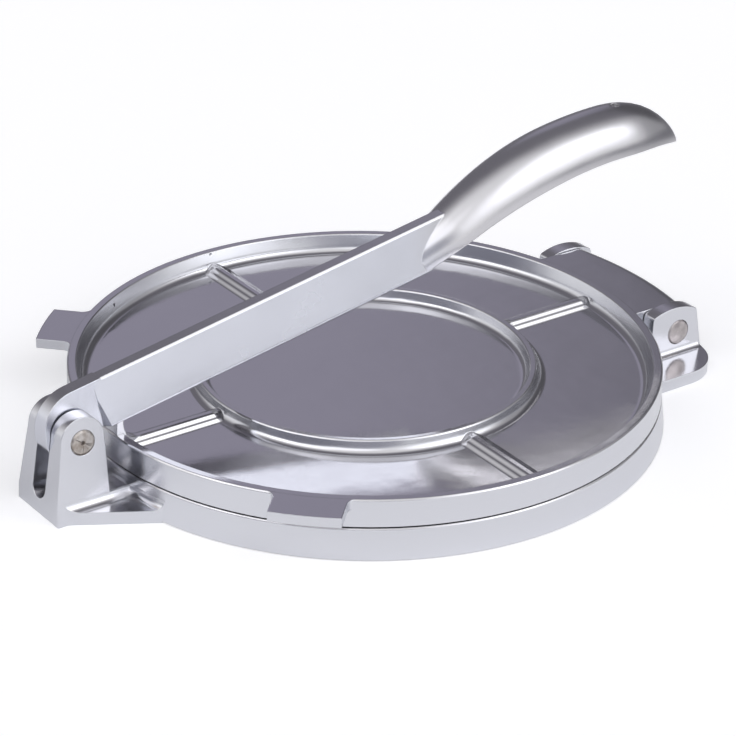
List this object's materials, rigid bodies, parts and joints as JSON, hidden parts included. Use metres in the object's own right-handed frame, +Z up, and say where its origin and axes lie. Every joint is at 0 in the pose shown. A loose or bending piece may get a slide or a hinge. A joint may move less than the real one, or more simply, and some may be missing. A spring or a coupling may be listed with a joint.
{
  "type": "tortilla press",
  "caption": "Round hinged press in cast aluminium: a ribbed top plate closes on a matching base under a pivoted lever with a half-round grip.",
  "frame": {"origin": "centre of the round base on the table it stands on", "axes": "+X towards the hinge of the two plates and -X towards the lever's fork, +Z up, +Y to the left when looking along +X"},
  "size_m": [0.2596, 0.2028, 0.0884],
  "materials": {
    "base_casting": "polished casting",
    "plate_casting": "polished casting",
    "lever_casting": "polished casting",
    "lever_pin_metal": "nickel plated, staked ends",
    "hinge_pin_metal": "plain turned"
  },
  "bodies": {
    "base": {"base_plate": "base_casting", "lever_pin": "lever_pin_metal", "hinge_pin": "hinge_pin_metal"},
    "plate": {"top_plate": "plate_casting"},
    "handle": {"lever": "lever_casting"}
  },
  "joints": [
    {"name": "lever_pivot", "type": "hinge", "parent": "base", "child": "handle", "pos_m": [-0.1154, 0, 0.0264], "axis": [0, -1, 0], "range_deg": [0, 165]},
    {"name": "plate_hinge", "type": "hinge", "parent": "base", "child": "plate", "pos_m": [0.1112, 0, 0.0121], "axis": [0, 1, 0], "range_deg": [0, 170]}
  ],
  "couplings": [
    {"joint": "plate_hinge", "follows": "lever_pivot", "ratio": 0.085}
  ]
}
